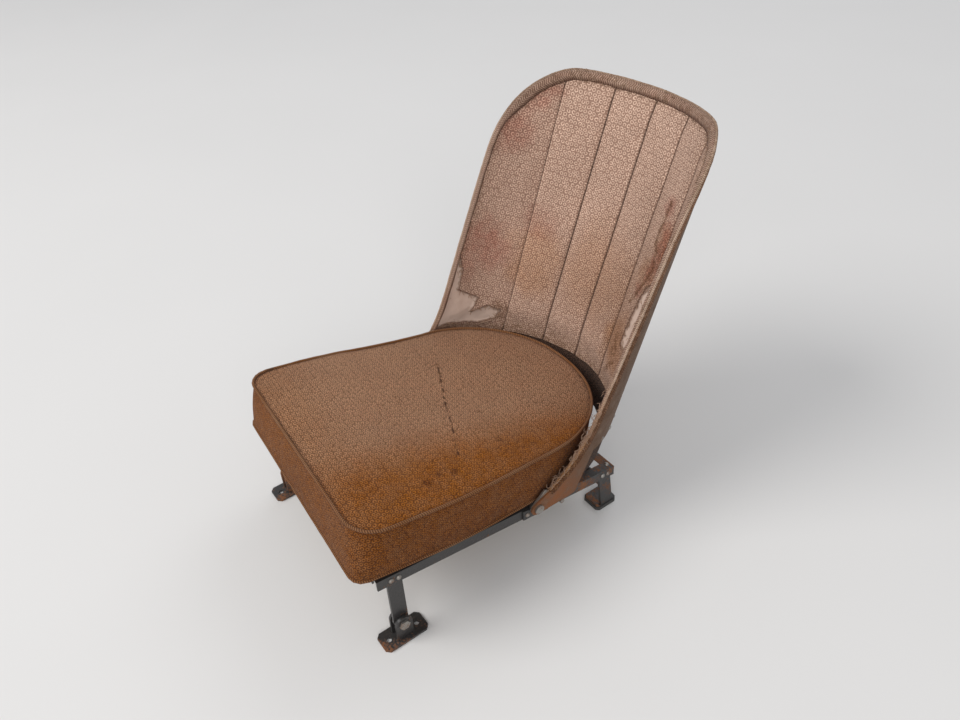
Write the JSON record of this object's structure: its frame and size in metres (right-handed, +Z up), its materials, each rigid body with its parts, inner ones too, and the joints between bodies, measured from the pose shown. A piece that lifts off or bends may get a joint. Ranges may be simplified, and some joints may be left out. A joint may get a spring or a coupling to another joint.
{
  "type": "tip-forward folding bucket seat of a small 1920s closed car",
  "caption": "Small car bucket seat: fluted tub back with swept wings that folds forward over a loose sloping cushion, on an angle-iron frame that tips forward on two floor hinges.",
  "frame": {"origin": "on the floor, in the middle of the four bolts of the two front hinge feet", "axes": "+X to the sitter's left, +Y to the rear of the car, +Z up; the seat faces -Y"},
  "size_m": [0.4268, 0.714, 0.6105],
  "materials": {
    "frame_steel": "worn black stove enamel with rust at edges",
    "bare_steel": "dull bare steel, lightly rusted",
    "rubber_pad": "hard aged rubber",
    "plywood": "bare aged plywood",
    "moquette": "worn pinkish beige moquette with small fleck weave",
    "leathercloth": "tan grained leathercloth, rubbed",
    "binding": "woven binding with piping, frayed"
  },
  "bodies": {
    "floor_mount": {"hinge_foot_left": "frame_steel", "hinge_foot_right": "frame_steel", "hinge_pin_left": "bare_steel", "hinge_pin_right": "bare_steel"},
    "base": {"side_rail_left": "frame_steel", "side_rail_right": "frame_steel", "front_leg_left": "frame_steel", "front_leg_right": "frame_steel", "rear_leg_left": "frame_steel", "rear_leg_right": "frame_steel", "pivot_lug_left": "frame_steel", "pivot_lug_right": "frame_steel", "rear_stretcher": "frame_steel", "front_cross_rail": "frame_steel", "rear_cross_rail": "frame_steel", "lath_1": "frame_steel", "lath_2": "frame_steel", "lath_3": "frame_steel", "lath_4": "frame_steel", "pivot_bolt_left": "bare_steel", "pivot_bolt_right": "bare_steel", "stop_peg_left": "bare_steel", "stop_peg_right": "bare_steel", "rear_foot_pad_left": "rubber_pad", "rear_foot_pad_right": "rubber_pad", "cushion_board": "plywood", "cushion": "moquette"},
    "back": {"back_shell": "leathercloth", "rim_binding": "binding", "back_flute_1": "moquette", "back_flute_2": "moquette", "back_flute_3": "moquette", "back_flute_4": "moquette", "wing_pad_left": "moquette", "wing_pad_right": "moquette", "fold_arm_left": "bare_steel", "fold_arm_right": "bare_steel"}
  },
  "joints": [
    {"name": "seat_tip", "type": "hinge", "parent": "floor_mount", "child": "base", "pos_m": [0, 0, 0.034], "axis": [1, 0, 0], "range_deg": [0, 45]},
    {"name": "back_fold", "type": "hinge", "parent": "base", "child": "back", "pos_m": [0, 0.248, 0.114], "axis": [1, 0, 0], "range_deg": [0, 75]}
  ]
}
